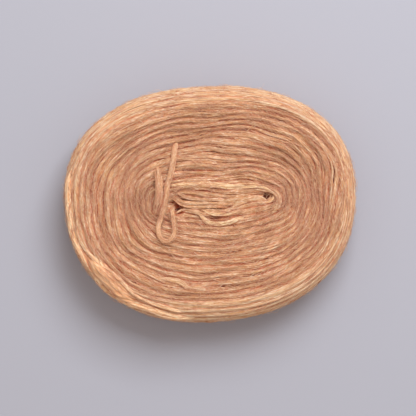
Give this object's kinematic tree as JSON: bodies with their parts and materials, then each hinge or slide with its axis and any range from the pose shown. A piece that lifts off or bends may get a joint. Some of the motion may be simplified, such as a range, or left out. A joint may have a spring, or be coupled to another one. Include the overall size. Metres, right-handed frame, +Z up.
{
  "type": "yarn cake",
  "caption": "Flat oval cake of unspun wool roving, wound in a spiral over a dished top and rounded side, with a loose loop and a loose tail on its top.",
  "frame": {"origin": "middle of the underside: the centre of the outline, at the height of the surface that the cake lies on", "axes": "+X along the oval's longer axis, towards the end where the slit's smaller opening is; +Y along its shorter axis, up in the picture; +Z up, out of the dished top"},
  "size_m": [0.2001, 0.1625, 0.0471],
  "materials": {
    "wound_wool": "matt heathered unspun wool roving",
    "loose_wool": "matt heathered unspun wool roving, paler where it lies loose"
  },
  "bodies": {
    "root": {"wound_cake": "wound_wool", "loose_loop": "loose_wool", "loose_tail": "loose_wool"}
  },
  "joints": []
}
